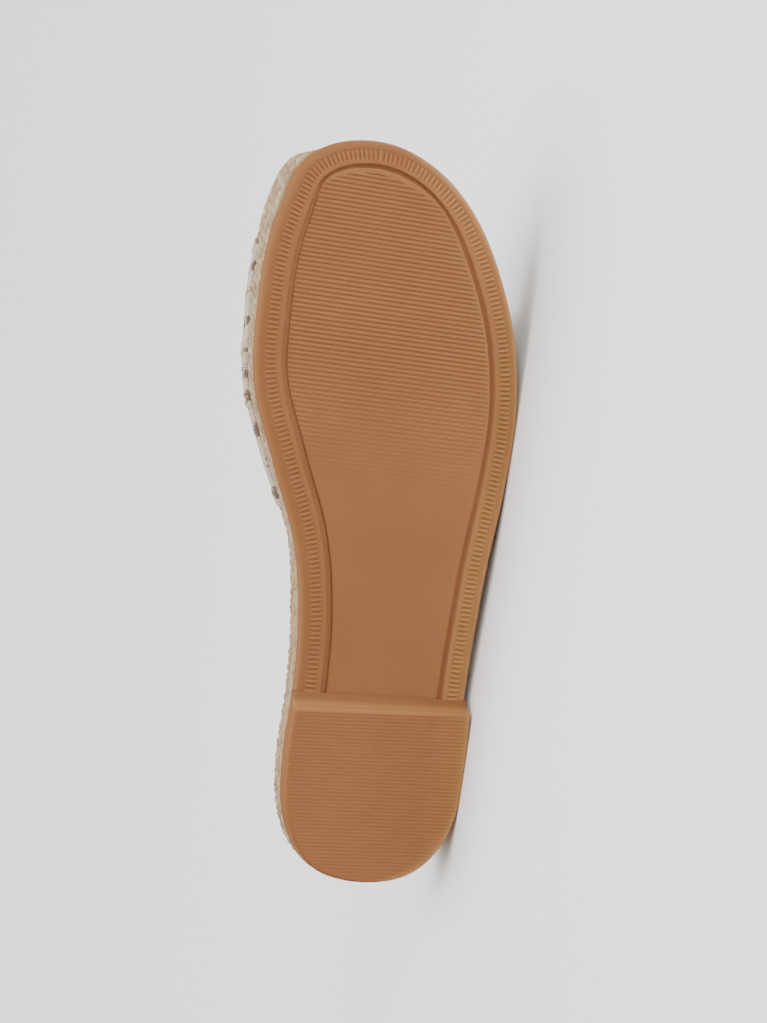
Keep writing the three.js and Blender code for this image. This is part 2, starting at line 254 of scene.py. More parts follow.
# The footbed's rows, from its middle over the seam and round the turned edge: distance in from its
# side, height as a share of its thickness, and the painted shade in the seam's dip and on the lower edge
FOOTBED_ROWS = table(
    ("inset", "up", "depth"),
    (12.0, 0.9),
    (9.0, 0.93),
    (6.4, 0.98),
    (5.4, 0.99),
    (4.9, 0.9, 0.5),
    (4.5, 0.88, 0.7),
    (4.1, 0.93, 0.4),
    (3.4, 1.01),
    (2.0, 1.02),
    (1.0, 0.94),
    (0.3, 0.75),
    (0.0, 0.45),
    (0.2, 0.12, 0.6),
    (0.6, 0.0, 0.9),
)
SEAM_INSET = 4.5
SEAM_UP = 0.93
FOOTBED_INSET = 0.8
FOOTBED_MARGIN = 1.7

# Half widths at equal steps of the half turn from heel tip to toe tip, as shares of the ball width
OUTLINE = {
    "medial": [
        0.009, 0.174, 0.269, 0.325, 0.339, 0.328, 0.338, 0.392,
        0.502, 0.601, 0.616, 0.602, 0.555, 0.493, 0.370, 0.208,
    ],
    "lateral": [
        -0.009, 0.151, 0.257, 0.320, 0.336, 0.338, 0.346, 0.360,
        0.395, 0.411, 0.377, 0.303, 0.208, 0.087, -0.058, -0.208,
    ],
}
SIDE_RUN = 330.0

# Height of the straps over the platform at equal steps of the length, and how far the crown sits medially
SECTIONS_FROM = 0.42
SECTIONS_TO = 0.9
SECTIONS = {
    "height": (1.0, 0.9, 0.76, 0.63, 0.5),
    "crown": (0.06, 0.08, 0.11, 0.13, 0.14),
}

# Where each strap's rear and front edge meet the sole, as shares of the length
STRAPS = {
    "over": {"medial": (0.622, 0.855), "lateral": (0.463, 0.664)},
    "under": {"medial": (0.494, 0.714), "lateral": (0.58, 0.804)},
}

# Creases of the soft cloth: ends as shares across the foot and of the strap's width,
# depth and width in millimetres
CREASES = {
    "over": table(
        ("start", "end", "depth", "width"),
        ((0.22, 0.30), (0.58, 0.42), 1.3, 2.4),
        ((0.30, 0.66), (0.70, 0.58), 1.4, 2.8),
        ((0.40, 0.86), (0.66, 0.74), 1.0, 2.1),
        ((0.34, 0.16), (0.62, 0.24), 1.0, 2.1),
        ((0.66, 0.44), (0.90, 0.38), 1.0, 2.8),
        ((0.06, 0.52), (0.26, 0.48), 0.9, 2.8),
    ),
    "under": table(
        ("start", "end", "depth", "width"),
        ((0.10, 0.28), (0.42, 0.40), 1.2, 2.6),
        ((0.14, 0.62), (0.44, 0.55), 1.2, 2.4),
        ((0.58, 0.50), (0.90, 0.60), 1.1, 2.8),
        ((0.60, 0.24), (0.84, 0.30), 1.0, 2.3),
        ((0.04, 0.82), (0.26, 0.74), 0.9, 2.2),
    ),
}

# Colours, in linear light
GUM = {
    "shade": (0.229, 0.087, 0.0285),
    "plain": (0.262, 0.101, 0.035),
    "speck": (0.187, 0.067, 0.0215),
    # Painted light, mixed in where tone is above zero
    "lateral_painted_light": (0.4, 0.198, 0.068),
    # Painted shade, darker and more golden, mixed in where tone is below zero
    "medial_painted_shade": (0.197, 0.089, 0.023),
    # Painted shade in recesses, mixed in by depth
    "sunk": (0.165, 0.06, 0.0225),
}
JUTE = {
    "dull": (0.4, 0.27, 0.145),
    "plain": (0.6, 0.44, 0.265),
    "bright": (0.76, 0.6, 0.4),
    "fibre": (0.33, 0.205, 0.1),
    "hair": (0.17, 0.11, 0.065),
    # Painted shade between the strands, mixed in by depth
    "sunk": (0.13, 0.08, 0.042),
}
CLOTH = {
    "cream_shade": (0.47, 0.37, 0.27),
    "cream": (0.66, 0.55, 0.425),
    "taupe_shade": (0.105, 0.07, 0.048),
    "taupe": (0.18, 0.125, 0.088),
    # Painted shade in the gaps between threads
    "gap": (0.22, 0.16, 0.11),
    # Painted shade in the hem's groove and on the inner skin, mixed in by depth
    "sunk": (0.25, 0.18, 0.13),
}
FOOTBED = {
    "plain": (0.6, 0.48, 0.34),
    "worn": (0.52, 0.4, 0.27),
    "slub": (0.4, 0.3, 0.2),
    # Painted shade in the gaps between threads
    "gap": (0.24, 0.17, 0.11),
    # Painted shade in the seam's dip and on the lower edge, mixed in by depth
    "sunk": (0.2, 0.14, 0.1),
}
DARK_THREAD = {"light": (0.17, 0.12, 0.085), "dark": (0.075, 0.052, 0.036)}
PALE_THREAD = {"light": (0.72, 0.63, 0.5), "dark": (0.5, 0.41, 0.3)}
BLACK = (0.0, 0.0, 0.0)
WHITE = (1.0, 1.0, 1.0)
STRIPE_SPACING = 9.6

# The two flat faces that the record names, in the shoe's axes
HEEL_POINT = Vector((30.0, 0.0, 0.0))
FORE_POINT = Vector((163.0, -51.0, 0.0))

# The photograph's camera, in the shoe's axes, and where it looks once it has turned to this one shoe
CAMERA_AT = Vector((128.5, -231.7, -651.2))
CAMERA_LOOKS_AT = Vector((127.9, -7.4, 0.0))
CAMERA_UP = Vector((0.995, -0.0947, 0.0318))
CAMERA_LENS = 70.4
SENSOR = 36.0

# The key light in the frame, and the world's light: the same all round, and softly from overhead
KEY_AT = Vector((0.9, -0.8, 0.5))
KEY_AIM = Vector((0.0, 0.0, 0.04))
KEY_SIZE = 0.6
KEY_POWER = 11.0
WORLD_ALL_ROUND = 0.2
WORLD_ABOVE = 7.4

MM = 0.001


def lerp(a, b, t):
    return a + (b - a) * t


def smoothstep(x, low, high):
    t = np.clip((x - low) / (high - low), 0.0, 1.0)
    return t * t * (3 - 2 * t)


def bell(x, middle, spread):
    """A bump of height one."""
    return np.exp(-(((x - middle) / spread) ** 2))


def run_along(points):
    """The distance from the first point to each, along the line through them."""
    steps = np.linalg.norm(np.diff(points, axis=0), axis=1)
    return np.concatenate([[0], np.cumsum(steps)])


def through_values(values, u, closed):
    """Smooth value through evenly spaced values, at positions u counted in steps."""
    values = np.asarray(values, float)
    count = len(values)
    i = np.floor(u).astype(int)
    t = u - i

    def pick(k):
        return values[np.mod(k, count)] if closed else values[np.clip(k, 0, count - 1)]

    a, b, c, d = pick(i - 1), pick(i), pick(i + 1), pick(i + 2)
    return b + t / 2 * (c - a + t * (2 * a - 5 * b + 4 * c - d + t * (3 * (b - c) + d - a)))


# The outline, and heights along the shoe

SIDEWAYS = [-width * BALL_WIDTH for width in OUTLINE["medial"]]
SIDEWAYS += [width * BALL_WIDTH for width in OUTLINE["lateral"][-2:0:-1]]


def outline_at(turn):
    """Points of the outline at turns from 0 to 1: heel tip, medial side, toe tip, lateral side."""
    turn = np.asarray(turn, float)
    x = LENGTH * (1 - np.cos(2 * np.pi * turn)) / 2
    y = through_values(SIDEWAYS, turn * len(SIDEWAYS), True)
    return np.stack([x, y], -1)


def inward_at(turn):
    step = 2e-3
    along = outline_at(np.asarray(turn) + step) - outline_at(np.asarray(turn) - step)
    along /= np.linalg.norm(along, axis=-1, keepdims=True)
    return np.stack([-along[..., 1], along[..., 0]], -1)


def turn_at(x, side):
    """The turn at a place along the shoe, on the medial side where side is below zero."""
    half = np.arccos(np.clip(1 - 2 * np.asarray(x) / LENGTH, -1, 1)) / (2 * np.pi)
    return half if side < 0 else 1 - half


def inset_line(turns, inset):
    """The outline moved inwards; the inset may differ from turn to turn."""
    return outline_at(turns) + inward_at(turns) * np.reshape(inset * np.ones(len(turns)), (-1, 1))


def tread_line(turns, inset):
    """A line of the tread: the frame gets narrower at the toe, and the groove on the lateral side."""
    here = outline_at(turns)
    frame_part = np.maximum(inset - TICKS_TO, 0) * smoothstep(here[:, 0], *TOE_NARROWING_SPAN)
    groove_part = np.clip(inset - FRAME_WIDTH, 0, GROOVE_WIDTH) * smoothstep(here[:, 1], *GROOVE_SPAN)
    return inset_line(turns, inset - TOE_NARROWING * frame_part - GROOVE_NARROWING * groove_part)


def turns_at_shares(side, ends, shares, inset=0.0, samples=4000):
    """Turns at shares of the length of one side's line, between two places along the shoe."""
    first, last = turn_at(np.array(ends), side)
    turns = np.linspace(first, last, samples)
    run = run_along(inset_line(turns, inset))
    return np.interp(shares * run[-1], run, turns)


def even_turns(step):
    """Turns all round at about equal lengths, alike in number on both sides."""
    shares = np.linspace(0, 1, int(round(SIDE_RUN / step)) + 1)
    medial = turns_at_shares(-1, (0, LENGTH), shares)
    lateral = turns_at_shares(1, (0, LENGTH), shares)
    return np.concatenate([medial[:-1], lateral[::-1][:-1]])


def waist_tuck(x, y):
    """How far the midsole draws in at the medial side of the waist."""
    return np.where(np.asarray(y) < 0, WAIST_TUCK * bell(x / LENGTH, WAIST_AT, WAIST_SPREAD), 0.0)


def toe_bulge(turns):
    """How far the jute stands out at the medial side of the toe."""
    x = outline_at(turns)[:, 0]
    bump = TOE_BULGE * smoothstep(x, *TOE_BULGE_STARTS) * (1 - smoothstep(x, *TOE_BULGE_ENDS))
    return np.where(turns < 0.5, bump, 0.0)


def spring_at(x):
    return TOE_SPRING * np.maximum(0, (x / LENGTH - SPRING_START) / (1 - SPRING_START)) ** 1.8


def ground_at(x):
    """Height of the outsole's underside."""
    arch = HEEL_LIFT * (1 - smoothstep(x, BREAST_AT + BREAST_RUN / 2, LENGTH * ARCH_END))
    return arch + spring_at(x)


def rubber_top_at(x):
    return ground_at(x) + RUBBER_THICK


def platform_at(x):
    return PLATFORM_HEIGHT + spring_at(x)


def footbed_at(x, share):
    """Height in the footbed, at a share of its thickness."""
    return platform_at(x) + CLEARANCE + INSOLE_THICK * share


# From the shoe's axes to the frame


def shoe_to_row():
    """The matrix from the shoe's axes in millimetres to the row frame in metres."""
    mounts = {m["name"]: m for m in frame["record"]["mounts"]}
    up = -Vector(mounts["heel_tread"]["axis"]).normalized()
    heel = Vector(mounts["heel_tread"]["pos_m"])
    fore = Vector(mounts["forefoot_tread"]["pos_m"])
    along = fore - heel
    along = (along - up * along.dot(up)).normalized()
    apart = FORE_POINT - HEEL_POINT
    angle = math.atan2(apart.y, apart.x)
    toe = along * math.cos(angle) - up.cross(along) * math.sin(angle)
    lateral = up.cross(toe)
    turn = Matrix((toe, lateral, up)).transposed()
    place = Matrix.Scale(MM, 4) @ turn.to_4x4()
    place.translation = heel - (turn @ HEEL_POINT) * MM
    return place


PLACE = shoe_to_row()


def to_row(points):
    place = np.array(PLACE)
    return np.asarray(points, float) @ place[:3, :3].T + place[:3, 3]


def new_object(name, data):
    obj = bpy.data.objects.new(name, data)
    bpy.context.scene.collection.objects.link(obj)
    return obj


class Shell:
    """Points, faces and per-point values of one closed surface or several.

    depth is painted shade: how far a point is sunk, which makes it darker. tone is read by each material in
    its own way: on rubber it is painted light above zero and painted shade, more golden, below it; jute
    strands go from dull to bright, and on the cloth it is one at a strap's low ends.
    """

    def __init__(self):
        self.count = 0
        self.faces = []
        self.points = []
        self.uv = []
        self.depth = []
        self.tone = []

    def add(self, points, faces, uv=0.0, depth=0.0, tone=0.0):
        points = np.reshape(points, (-1, 3))
        self.faces += [tuple(int(k) + self.count for k in face) for face in faces]
        self.points.append(points)
        self.uv.append(uv * np.ones((len(points), 2)))
        self.depth.append(depth * np.ones(len(points)))
        self.tone.append(tone * np.ones(len(points)))
        self.count += len(points)

    def piece(self, name, material, node, sharp):
        """The mesh object, laid in the frame, with edges that bend more than sharp degrees kept crisp."""
        points = to_row(np.concatenate(self.points))
        points[:, 2] = np.maximum(points[:, 2], 0.0)
        mesh = bpy.data.meshes.new(name)
        mesh.from_pydata(points.tolist(), [], self.faces)
        layer = mesh.uv_layers.new(name="uv")
        loops = np.empty(len(mesh.loops), np.int32)
        mesh.loops.foreach_get("vertex_index", loops)
        layer.data.foreach_set("uv", np.concatenate(self.uv)[loops].astype(np.float32).ravel())
        for key, values in (("depth", self.depth), ("tone", self.tone)):
            layer = mesh.attributes.new(key, "FLOAT", "POINT")
            layer.data.foreach_set("value", np.concatenate(values).astype(np.float32))
        mesh.polygons.foreach_set("use_smooth", [True] * len(mesh.polygons))
        mesh.set_sharp_from_angle(angle=math.radians(sharp))
        mesh.materials.append(material)
        mesh.validate()
        obj = new_object(name, mesh)
        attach(obj, "root")
        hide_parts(node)


def band_faces(rows, columns, closed):
    """Quads between rows of points, facing out when rows go down and columns go counterclockwise."""
    faces = []
    last = columns if closed else columns - 1
    for r in range(rows - 1):
        for i in range(last):
            a, b = r * columns + i, r * columns + (i + 1) % columns
            faces.append((a, a + columns, b + columns, b))
    return faces


def rim_of_grid(rows, columns):
    """Row and column of the points round the border of a grid, in order."""
    rim = [(0, i) for i in range(columns)] + [(r, columns - 1) for r in range(1, rows)]
    rim += [(rows - 1, i) for i in range(columns - 2, -1, -1)] + [(r, 0) for r in range(rows - 2, 0, -1)]
    return rim


def cap_faces(start, count, up):
    """Faces that close a ring by joining its medial half to its lateral half."""
    faces = []
    for i in range(count // 2):
        corners = [i, i + 1, (count - i - 1) % count, (count - i) % count]
        face = tuple(start + k for k in dict.fromkeys(corners))
        faces.append(face if up else face[::-1])
    return faces


def stacked(rings, painted_shades, uv=0.0, tone=0.0):
    """A closed surface through rings from the top down, with both ends capped."""
    count = len(rings[0])
    faces = band_faces(len(rings), count, True)
    faces += cap_faces(0, count, True)
    faces += cap_faces((len(rings) - 1) * count, count, False)
    shell = Shell()
    shell.add(np.concatenate(rings), faces, uv, np.concatenate(painted_shades), tone)
    return shell


# Materials


def opaque(color):
    """A colour with full alpha. A socket stays as it is."""
    return (*color, 1.0) if isinstance(color, tuple) else color


class Graph:
    """Short calls for the nodes of a material or a world."""

    def __init__(self, tree):
        self.tree = tree

    def node(self, kind, inputs=None, **settings):
        made = self.tree.nodes.new(kind)
        for key, value in settings.items():
            setattr(made, key, value)
        for key, value in (inputs or {}).items():
            if isinstance(value, bpy.types.NodeSocket):
                self.link(value, made.inputs[key])
            else:
                made.inputs[key].default_value = value
        return made

    def link(self, source, socket):
        self.tree.links.new(source, socket)

    def uv(self):
        return self.node("ShaderNodeUVMap", uv_map="uv").outputs[0]

    def attribute(self, name):
        return self.node("ShaderNodeAttribute", attribute_name=name).outputs["Fac"]

    def math(self, operation, a, b=0.0):
        return self.node("ShaderNodeMath", {0: a, 1: b}, operation=operation).outputs[0]

    def plus(self, a, b):
        return self.math("ADD", a, b)

    def minus(self, a, b):
        return self.math("SUBTRACT", a, b)

    def times(self, a, b):
        return self.math("MULTIPLY", a, b)

    def scaled(self, vector, along, across):
        inputs = {"Vector": vector, "Scale": (along, across, 1.0)}
        return self.node("ShaderNodeMapping", inputs).outputs[0]

    def noise(self, vector, scale, detail, roughness=0.5, distortion=0.0):
        inputs = {"Vector": vector, "Scale": scale, "Detail": detail}
        inputs.update({"Roughness": roughness, "Distortion": distortion})
        return self.node("ShaderNodeTexNoise", inputs).outputs["Fac"]

    def ramp(self, value, stops):
        made = self.node("ShaderNodeValToRGB", {"Fac": value})
        elements = made.color_ramp.elements
        while len(elements) < len(stops):
            elements.new(0.5)
        for element, (position, color) in zip(elements, stops):
            element.position = position
            element.color = opaque(color)
        return made.outputs["Color"]

    def mix(self, factor, a, b):
        inputs = {0: factor, 6: opaque(a), 7: opaque(b)}
        return self.node("ShaderNodeMix", inputs, data_type="RGBA").outputs[2]

    def tint(self, base, color, value, strength):
        """Mixes a colour in where a value is high."""
        return self.mix(self.times(value, strength), base, color)

    def bump(self, height, strength, distance, below=None):
        inputs = {"Height": height, "Strength": strength, "Distance": distance}
        if below is not None:
            inputs["Normal"] = below
        return self.node("ShaderNodeBump", inputs).outputs["Normal"]


def new_material(name, inputs):
    """A material with its shader, whose plain values are set, and its graph."""
    material = bpy.data.materials.new(name)
    material.use_nodes = True
    g = Graph(material.node_tree)
    g.tree.nodes.clear()
    shader = g.node("ShaderNodeBsdfPrincipled", inputs)
    g.node("ShaderNodeOutputMaterial", {0: shader.outputs[0]})
    return material, shader, g


def gum_rubber():
    material, shader, g = new_material("gum_rubber", {
        "Subsurface Weight": 0.06,
        "Subsurface Radius": (1.0, 0.4, 0.15),
        "Subsurface Scale": 0.0015,
        "Specular IOR Level": 0.16,
    })
    place = g.node("ShaderNodeTexCoord").outputs["Object"]
    tone = g.attribute("tone")
    broad = g.noise(place, 26.0, 3.0)
    fine = g.noise(place, 520.0, 5.0, 0.6)
    base = g.ramp(broad, [(0.3, GUM["shade"]), (0.7, GUM["plain"])])
    specked = g.tint(base, GUM["speck"], fine, 0.3)
    # Painted light where tone is above zero and painted shade where it is below
    lateral = g.tint(specked, GUM["lateral_painted_light"], tone, 0.9)
    medial = g.tint(lateral, GUM["medial_painted_shade"], tone, -0.75)
    # Painted shade in the slots, the groove, the rib valleys and the heel's hollow front face
    g.link(g.tint(medial, GUM["sunk"], g.attribute("depth"), 0.6), shader.inputs["Base Color"])
    g.link(g.plus(g.times(fine, 0.16), 0.4), shader.inputs["Roughness"])
    grain = g.bump(fine, 0.1, 0.0003)
    g.link(g.bump(broad, 0.2, 0.0006, grain), shader.inputs["Normal"])
    return material


def jute():
    material, shader, g = new_material("jute", {
        "Roughness": 0.92,
        "Specular IOR Level": 0.2,
        "Sheen Weight": 0.1,
    })
    uv = g.uv()
    fibre = g.noise(g.scaled(uv, 0.35, 3.2), 1.5, 6.0, 0.7, 0.4)
    hair = g.noise(g.scaled(uv, 0.8, 9.0), 1.5, 3.0)
    stops = [(0.0, JUTE["dull"]), (0.45, JUTE["plain"]), (1.0, JUTE["bright"])]
    strands = g.tint(g.ramp(g.attribute("tone"), stops), JUTE["fibre"], fibre, 0.75)
    flecks = g.tint(strands, JUTE["hair"], g.ramp(hair, [(0.51, BLACK), (0.6, WHITE)]), 0.8)
    # Painted shade between the strands
    g.link(g.tint(flecks, JUTE["sunk"], g.attribute("depth"), 1.1), shader.inputs["Base Color"])
    g.link(g.bump(fibre, 0.7, 0.0004, g.bump(hair, 0.4, 0.0002)), shader.inputs["Normal"])
    return material


def woven(g, uv, pitch):
    """Height of a plain weave whose threads lie pitch millimetres apart."""
    scale = g.node("ShaderNodeVectorMath", {0: uv, 1: (math.pi / pitch,) * 3}, operation="MULTIPLY")
    parts = g.node("ShaderNodeSeparateXYZ", {0: scale.outputs[0]})
    across, along = (g.math("ABSOLUTE", g.math("SINE", parts.outputs[k])) for k in (0, 1))
    return g.math("MAXIMUM", across, along)


def slubs(g, uv, along, across, detail):
    """Uneven threads, drawn out along both directions of the cloth."""
    weft = g.noise(g.scaled(uv, along, across), 1.0, detail)
    warp = g.noise(g.scaled(uv, across, along), 1.0, detail)
    return g.times(g.plus(weft, warp), 0.5)


def stripes(g, uv):
    """One in the printed animal stripes: a bent wave that tapers, and breaks up at the straps' low ends."""
    parts = g.node("ShaderNodeSeparateXYZ", {0: uv})
    lean = g.plus(parts.outputs[1], g.times(parts.outputs[0], 0.3))
    bend = g.times(g.minus(g.noise(uv, 0.028, 2.0, 0.45), 0.5), 15.0)
    wave = g.math("SINE", g.plus(g.times(lean, 2 * math.pi / STRIPE_SPACING), bend))
    taper = g.minus(g.noise(g.scaled(uv, 0.045, 0.13), 1.0, 2.0), 0.5)
    ragged = g.minus(g.noise(uv, 0.9, 3.0, 0.6), 0.5)
    broken = g.plus(0.35, g.times(g.attribute("tone"), 2.2))
    ink = g.plus(g.plus(wave, g.times(taper, 4.2)), g.times(ragged, broken))
    return g.ramp(ink, [(0.42, BLACK), (0.54, WHITE)])


def strap_cloth():
    material, shader, g = new_material("strap_cloth", {
        "Roughness": 0.85,
        "Specular IOR Level": 0.25,
        "Sheen Weight": 0.2,
        "Sheen Roughness": 0.4,
    })
    uv = g.uv()
    weave = woven(g, uv, 0.6)
    slub = slubs(g, uv, 0.22, 2.4, 3.0)
    cream = g.ramp(slub, [(0.35, CLOTH["cream_shade"]), (0.65, CLOTH["cream"])])
    taupe = g.ramp(slub, [(0.35, CLOTH["taupe_shade"]), (0.65, CLOTH["taupe"])])
    printed = g.mix(stripes(g, uv), cream, taupe)
    # Painted shade in the weave's gaps, and by depth in the hem's groove and on the inner skin
    threads = g.tint(printed, CLOTH["gap"], g.minus(1.0, weave), 0.75)
    g.link(g.tint(threads, CLOTH["sunk"], g.attribute("depth"), 0.6), shader.inputs["Base Color"])
    g.link(g.bump(weave, 0.6, 0.0002, g.bump(slub, 0.5, 0.0004)), shader.inputs["Normal"])
    return material


def footbed_cloth():
    material, shader, g = new_material("footbed_cloth", {
        "Roughness": 0.88,
        "Specular IOR Level": 0.2,
        "Sheen Weight": 0.1,
    })
    uv = g.uv()
    weave = woven(g, uv, 1.0)
    slub = slubs(g, uv, 0.15, 1.6, 4.0)
    base = g.mix(g.noise(uv, 0.03, 2.0), FOOTBED["plain"], FOOTBED["worn"])
    threads = g.tint(base, FOOTBED["slub"], slub, 0.7)
    # Painted shade in the weave's gaps, and by depth in the seam's dip and on the lower edge
    gaps = g.tint(threads, FOOTBED["gap"], g.minus(1.0, weave), 0.8)
    g.link(g.tint(gaps, FOOTBED["sunk"], g.attribute("depth"), 0.8), shader.inputs["Base Color"])
    g.link(g.bump(weave, 0.7, 0.0003, g.bump(slub, 0.5, 0.0004)), shader.inputs["Normal"])
    return material


def thread(name, colors):
    material, shader, g = new_material(name, {"Roughness": 0.75})
    twist = g.noise(g.node("ShaderNodeTexCoord").outputs["Object"], 1400.0, 3.0)
    stops = [(0.35, colors["dark"]), (0.65, colors["light"])]
    g.link(g.ramp(twist, stops), shader.inputs["Base Color"])
    g.link(g.bump(twist, 0.5, 0.0002), shader.inputs["Normal"])
    return material


# Rubber outsole: frame, pad and heel block


def sideness(y, least):
    """How lateral a point is: from least on the medial side, below zero, to one."""
    return np.clip(y / SIDE_BLEND + SIDE_SHIFT, least, 1)


def frame_turns():
    """Turns round the frame and, for each, zero on a tick and one in the slot beside it."""
    first, last = turn_at(np.array([BREAST_AT, LENGTH]), -1)
    medial_run = run_along(outline_at(np.linspace(first, last, 4000)))[-1]
    ticks = int(round(medial_run / TICK_PITCH))
    shares = ((np.arange(ticks)[:, None] + np.array(SLOT_SHARES)) / ticks).ravel()
    middle = (TICKS_FROM + TICKS_TO) / 2
    heel_steps = 30
    halves = []
    for side in (-1, 1):
        heel = turns_at_shares(side, (0, BREAST_AT), np.linspace(0, 1, heel_steps + 1))
        fore = turns_at_shares(side, (BREAST_AT, LENGTH), shares, middle, 6000)
        halves.append(np.concatenate([heel[:-1], fore]))
    slot = np.concatenate([np.zeros(heel_steps), np.tile([0.0, 1.0, 1.0, 0.0], ticks)])
    toe = turn_at(np.array([LENGTH]), -1)
    turns = np.concatenate([halves[0], toe, halves[1][:0:-1]])
    return turns, np.concatenate([slot, [0.0], slot[:0:-1]])


def rim_painted_light_and_shade(inset, side, lit):
    """Painted light and shade of the frame's smooth rows: painted light on the rim on the lateral side,
    painted shade, golden, on the medial.
    """
    if inset >= FRAME_WIDTH - 0.2:
        return 0 * side
    outer = 1 - smoothstep(inset, *RIM_PAINTED_LIGHT_SPAN)
    tone = np.maximum(side, lit) * outer + lit * (1 - outer)
    return np.where(side < 0, PAINTED_LIGHT_AND_SHADE["medial_painted_shade"] * -side * outer, tone)


def outsole_frame(material):
    """The plate with its rounded rim, the ring of ticks, the flat band and the groove round the pad."""
    turns, slot = frame_turns()
    here = outline_at(turns)
    side = sideness(here[:, 1], -1)
    lateral = np.clip(side, 0, 1)
    fore = smoothstep(here[:, 0], *WAIST_TO_FORE)
    # Painted light on the lateral side, more at the waist, and on the tick bars
    lit = lateral * lerp(PAINTED_LIGHT_AND_SHADE["waist_frame"], PAINTED_LIGHT_AND_SHADE["fore_frame"], fore)
    tick_painted_light = lerp(PAINTED_LIGHT_AND_SHADE["medial_tick"], PAINTED_LIGHT_AND_SHADE["lateral_tick"], lateral) * (1 - slot) + lit
    # Painted shade on the medial side inward of the rim; the painted shade's limit is lower at the lateral
    # waist
    seam = SHADE["seam"] * (1 - lateral)
    deepest = SHADE["deepest"] + SHADE["lateral_waist"] * lateral * (1 - fore)
    rings, painted_shades, tones = [], [], []
    for row in FRAME_ROWS:
        inset, tick = row["inset"], row.get("tick")
        if "from_top" in row:
            line = inset_line(turns, inset)
            z = rubber_top_at(line[:, 0]) - row["from_top"]
            sunk = 0 * side
        else:
            line = tread_line(turns, inset)
            up = row["up"] * (slot if tick else np.ones(len(turns)))
            z = ground_at(line[:, 0]) + up
            sunk = up if inset > RIM else seam * smoothstep(inset, *MEDIAL_RIM_SHADE_SPAN)
        rings.append(np.column_stack([line, z]))
        painted_shades.append(np.clip(sunk * SHADE["slot" if tick else "groove"], 0, deepest))
        tones.append(tick_painted_light if tick else rim_painted_light_and_shade(inset, side, lit))
    stacked(rings, painted_shades, tone=np.concatenate(tones)).piece("outsole_frame", material, "outsole", 50)


def edge_lines(inset):
    """The medial and lateral lines at an inset, each as x and y in order of x."""
    lines = []
    for side in (-1, 1):
        line = tread_line(turn_at(np.linspace(0, LENGTH, 3000), side), inset)
        lines.append(line[np.argsort(line[:, 0])].T)
    return lines


def distance_inside(x, y, inset):
    """How far points lie inside the line at an inset, in millimetres."""
    line = tread_line(even_turns(step=0.8), inset)
    spots = np.column_stack([x.ravel(), y.ravel()])
    nearest = np.empty(len(spots))
    batch = 4000
    for start in range(0, len(spots), batch):
        part = spots[start:start + batch]
        gap = np.linalg.norm(part[:, None, :] - line[None, :, :], axis=2)
        nearest[start:start + batch] = gap.min(1)
    return nearest.reshape(x.shape)


def slab(x, y, z, back, depth, tone):
    """Rows of a downward surface, closed with side walls and with strips at the heights back."""
    rows, columns = x.shape
    faces = [face[::-1] for face in band_faces(rows, columns, False)]
    rim = rim_of_grid(rows, columns)
    behind = {spot: rows * columns + k for k, spot in enumerate(rim)}
    for spot, after in zip(rim, rim[1:] + rim[:1]):
        a, b = spot[0] * columns + spot[1], after[0] * columns + after[1]
        faces.append((behind[spot], behind[after], b, a))
    strips = [[behind[(r, i)] for i in range(columns) if (r, i) in behind] for r in range(rows)]
    for near, far in zip(strips, strips[1:]):
        faces.append(tuple(near + far[::-1])[::-1])
    spots = tuple(np.array(rim).T)
    walls = np.column_stack([x[spots], y[spots], back[spots]])
    points = np.concatenate([np.stack([x, y, z], -1).reshape(-1, 3), walls])
    painted_shades = np.concatenate([depth.ravel(), np.zeros(len(walls))])
    # The walls get painted light on the lateral side and painted shade on the medial side
    tones = np.concatenate([tone.ravel(), sideness(walls[:, 1], -0.8)])
    shell = Shell()
    shell.add(points, faces, points[:, :2], painted_shades, tones)
    return shell


def rib_rows(start, end, pitch):
    """Places along the shoe with the same number of rows to each rib."""
    rows = int(round((end - start) / pitch)) * RIB_ROWS
    return start + (end - start) * np.arange(rows + 1) / rows


def rib_wave(along, ribs, sharpness):
    """Zero on the ribs and one in the valleys between them."""
    phase = (along - ribs[0]) / (ribs[RIB_ROWS] - ribs[0])
    return (0.5 - 0.5 * np.cos(2 * np.pi * phase)) ** sharpness


def across_shares(columns, crowd):
    """Shares from side to side, closer together near both ends."""
    t = np.linspace(0, 1, columns)
    return lerp(t, (1 - np.cos(np.pi * t)) / 2, crowd)


def between(lines, along, shares):
    """y at shares of the way between two lines, for a column of places along the shoe."""
    low, high = (np.interp(along, *line) for line in lines)
    return lerp(low, high, shares)


